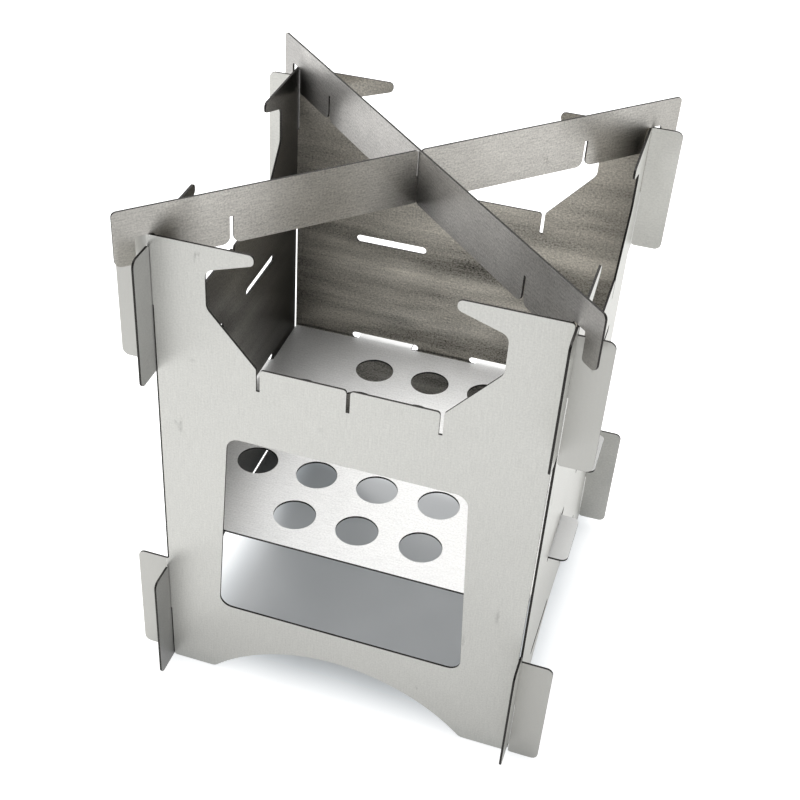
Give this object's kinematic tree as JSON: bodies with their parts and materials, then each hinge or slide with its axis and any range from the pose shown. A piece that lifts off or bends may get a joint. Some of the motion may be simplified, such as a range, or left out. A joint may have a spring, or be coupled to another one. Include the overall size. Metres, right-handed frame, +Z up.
{
  "type": "folding camping wood stove",
  "caption": "Flat-pack square wood stove of slotted steel sheets: interlocking walls with corner tabs, a perforated grate, a feed window and crossed pot bars that lift off.",
  "frame": {"origin": "on the ground, in the middle of the stove's footprint", "axes": "+Z up; the wall with the feed window faces -Y; +X is to the right of someone facing that wall"},
  "size_m": [0.188, 0.188, 0.238],
  "materials": {
    "panel_steel": "fine vertical grain with faint smudges",
    "grate_steel": "fine grain",
    "bar_steel": "fine grain"
  },
  "bodies": {
    "stove_body": {"back_panel": "panel_steel", "left_panel": "panel_steel", "right_panel": "panel_steel", "fire_grate": "grate_steel"},
    "front_wall": {"front_panel": "panel_steel"},
    "lower_bar": {"pot_bar_lower": "bar_steel"},
    "upper_bar": {"pot_bar_upper": "bar_steel"}
  },
  "joints": [
    {"name": "front_lift", "type": "slide", "parent": "stove_body", "child": "front_wall", "axis": [0, 0, 1], "range_m": [0, 0.06]},
    {"name": "bars_lift", "type": "slide", "parent": "front_wall", "child": "lower_bar", "axis": [0, 0, 1], "range_m": [0, 0.04]},
    {"name": "upper_bar_lift", "type": "slide", "parent": "lower_bar", "child": "upper_bar", "axis": [0, 0, 1], "range_m": [0, 0.04]}
  ]
}
